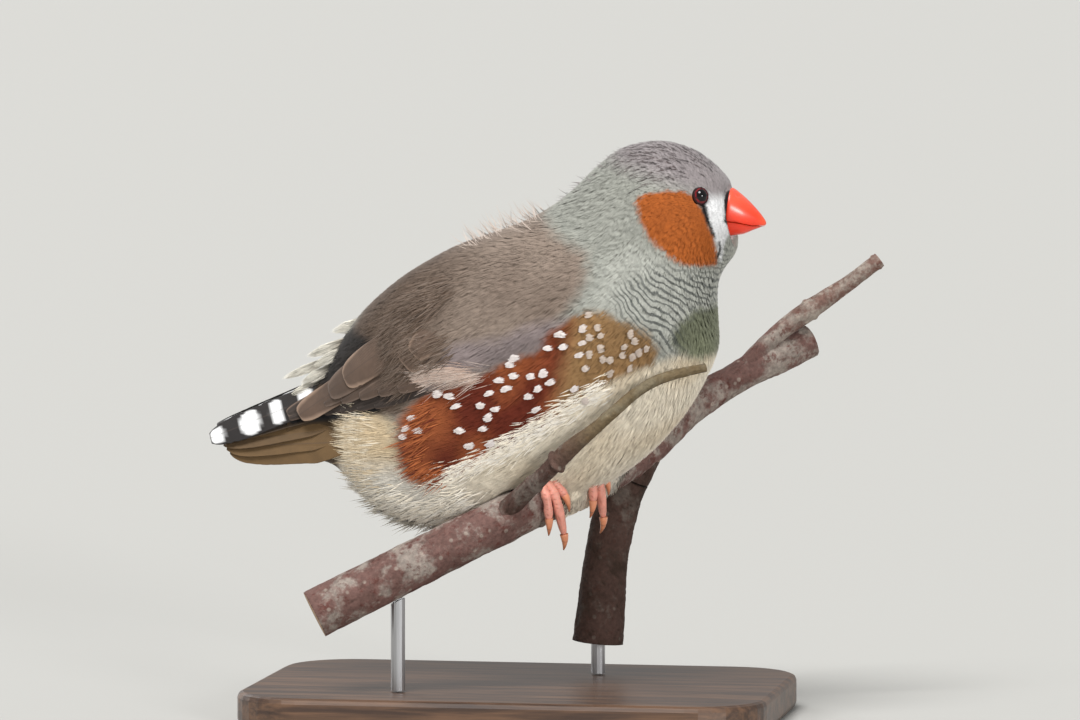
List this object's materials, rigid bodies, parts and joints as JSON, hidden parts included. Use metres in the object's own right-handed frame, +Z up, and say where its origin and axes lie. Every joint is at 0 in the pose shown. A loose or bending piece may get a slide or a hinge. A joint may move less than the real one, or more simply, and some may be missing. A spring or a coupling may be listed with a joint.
{
  "type": "zebra finch figure",
  "caption": "Life-size still model of a male zebra finch perched across a short cut branch, held over a flat base by rods.",
  "frame": {"origin": "centre of the underside of the stand's base", "axes": "+Z up, +X the way the bird faces, +Y to its left"},
  "size_m": [0.1186, 0.0697, 0.1046],
  "materials": {
    "feathers_grey": "soft matt feathers, grey",
    "feathers_cream": "soft matt feathers, cream",
    "feathers_brown": "matt flight feathers, grey brown",
    "feathers_black": "matt tail feathers, black barred with white",
    "eye": "wet gloss, dark red brown",
    "bill": "waxy gloss, orange red",
    "foot": "scaly skin, pinkish orange",
    "bark": "rough weathered bark, reddish brown and grey",
    "base_wood": "dark wood, satin",
    "rod_steel": "satin steel"
  },
  "bodies": {
    "root": {"head": "feathers_grey", "neck": "feathers_grey", "torso": "feathers_cream", "tail": "feathers_black", "wing_left": "feathers_brown", "wing_right": "feathers_brown", "eye_left": "eye", "eye_right": "eye", "bill_upper": "bill", "bill_lower": "bill", "foot_left": "foot", "foot_right": "foot", "perch_branch": "bark", "perch_stem": "bark", "perch_shoot": "bark", "perch_twig": "bark", "stand_base": "base_wood", "stand_rod_branch": "rod_steel", "stand_rod_stem": "rod_steel"}
  },
  "joints": []
}
